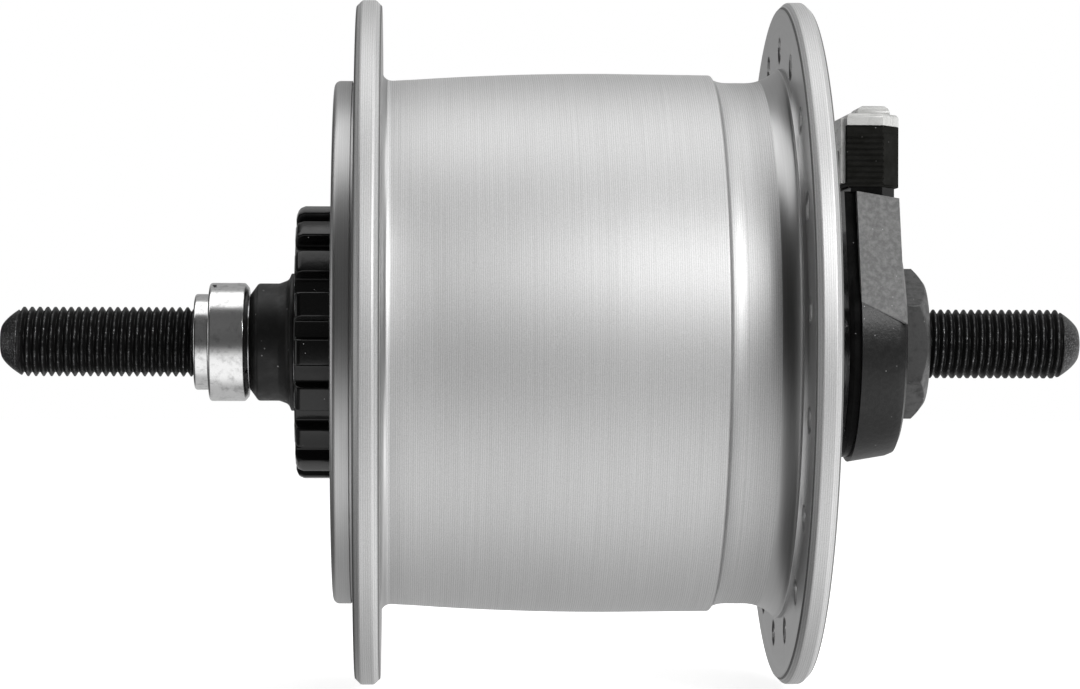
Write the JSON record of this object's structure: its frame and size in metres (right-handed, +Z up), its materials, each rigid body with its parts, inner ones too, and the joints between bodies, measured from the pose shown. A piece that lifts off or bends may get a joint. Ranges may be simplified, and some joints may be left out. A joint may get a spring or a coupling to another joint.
{
  "type": "hub dynamo",
  "caption": "Front wheel hub with a built-in claw-pole dynamo on a fixed threaded axle, splined brake carrier and a plug-in lamp connector.",
  "frame": {"origin": "middle of the axle, on its centre line, which is also the middle of the part's bounding box", "axes": "+X along the axle towards the connector side, +Z up with the plug on top, and the picture looks along +Y"},
  "size_m": [0.14, 0.0884, 0.0884],
  "materials": {
    "black_steel": "black oxide, worn bright on the thread crests",
    "bright_steel": "polished, with small nicks",
    "bearing_steel": "hardened and ground",
    "nut_steel": "dark zinc, bright on the edges",
    "stator_iron": "plain soft iron",
    "black_rubber": "dull",
    "bobbin_plastic": "natural",
    "copper_wire": "enamelled copper",
    "lead_insulation": "insulated wire",
    "contact_brass": "stamped",
    "black_plastic": "moulded, satin",
    "grey_plastic": "moulded, fine texture",
    "plug_plastic": "moulded",
    "light_grey_plastic": "moulded, smooth",
    "satin_aluminium": "satin, fine turning lines",
    "black_painted_steel": "satin black",
    "ferrite": "pressed ferrite"
  },
  "bodies": {
    "axle_assembly": {"axle": "black_steel", "left_lock_nut": "bright_steel", "left_cone_boot": "black_rubber", "left_cone": "bearing_steel", "right_cone": "bearing_steel", "stator_core": "stator_iron", "coil_bobbin": "bobbin_plastic", "coil_winding": "copper_wire", "left_claw_yoke": "stator_iron", "right_claw_yoke": "stator_iron", "stator_clamp_nuts": "nut_steel", "stator_key": "bearing_steel", "winding_lead": "lead_insulation", "spacer_sleeve": "bearing_steel", "earth_contact": "contact_brass", "signal_contact": "contact_brass", "terminal_base": "black_plastic", "connector_housing": "grey_plastic", "lock_washer": "nut_steel", "right_lock_nut": "nut_steel"},
    "rotating_shell": {"hub_shell": "satin_aluminium", "shell_cap": "satin_aluminium", "shell_seam_ring": "black_rubber", "brake_spline_ring": "black_painted_steel", "left_bearing_cup": "bearing_steel", "right_bearing_cup": "bearing_steel", "left_lip_seal": "black_rubber", "right_dust_seal": "black_rubber", "magnet_iron_ring": "stator_iron", "pole_magnets": "ferrite"},
    "left_ball_set": {"left_bearing_balls": "bearing_steel", "left_ball_cage": "nut_steel"},
    "right_ball_set": {"right_bearing_balls": "bearing_steel", "right_ball_cage": "nut_steel"},
    "plug": {"connector_plug": "plug_plastic"},
    "cap": {"plug_cap": "light_grey_plastic"}
  },
  "joints": [
    {"name": "shell_spin", "type": "hinge", "parent": "axle_assembly", "child": "rotating_shell", "pos_m": [0, 0, 0], "axis": [1, 0, 0], "continuous": true},
    {"name": "left_ball_spin", "type": "hinge", "parent": "axle_assembly", "child": "left_ball_set", "pos_m": [-0.0276, 0, 0], "axis": [1, 0, 0], "continuous": true},
    {"name": "right_ball_spin", "type": "hinge", "parent": "axle_assembly", "child": "right_ball_set", "pos_m": [0.033, 0, 0], "axis": [1, 0, 0], "continuous": true},
    {"name": "plug_pull", "type": "slide", "parent": "axle_assembly", "child": "plug", "axis": [0, 0, 1], "range_m": [0, 0.008]},
    {"name": "cap_pull", "type": "slide", "parent": "plug", "child": "cap", "axis": [0, 0, 1], "range_m": [0, 0.007]}
  ],
  "couplings": [
    {"joint": "left_ball_spin", "follows": "shell_spin", "ratio": 0.5915},
    {"joint": "right_ball_spin", "follows": "shell_spin", "ratio": 0.5915}
  ]
}
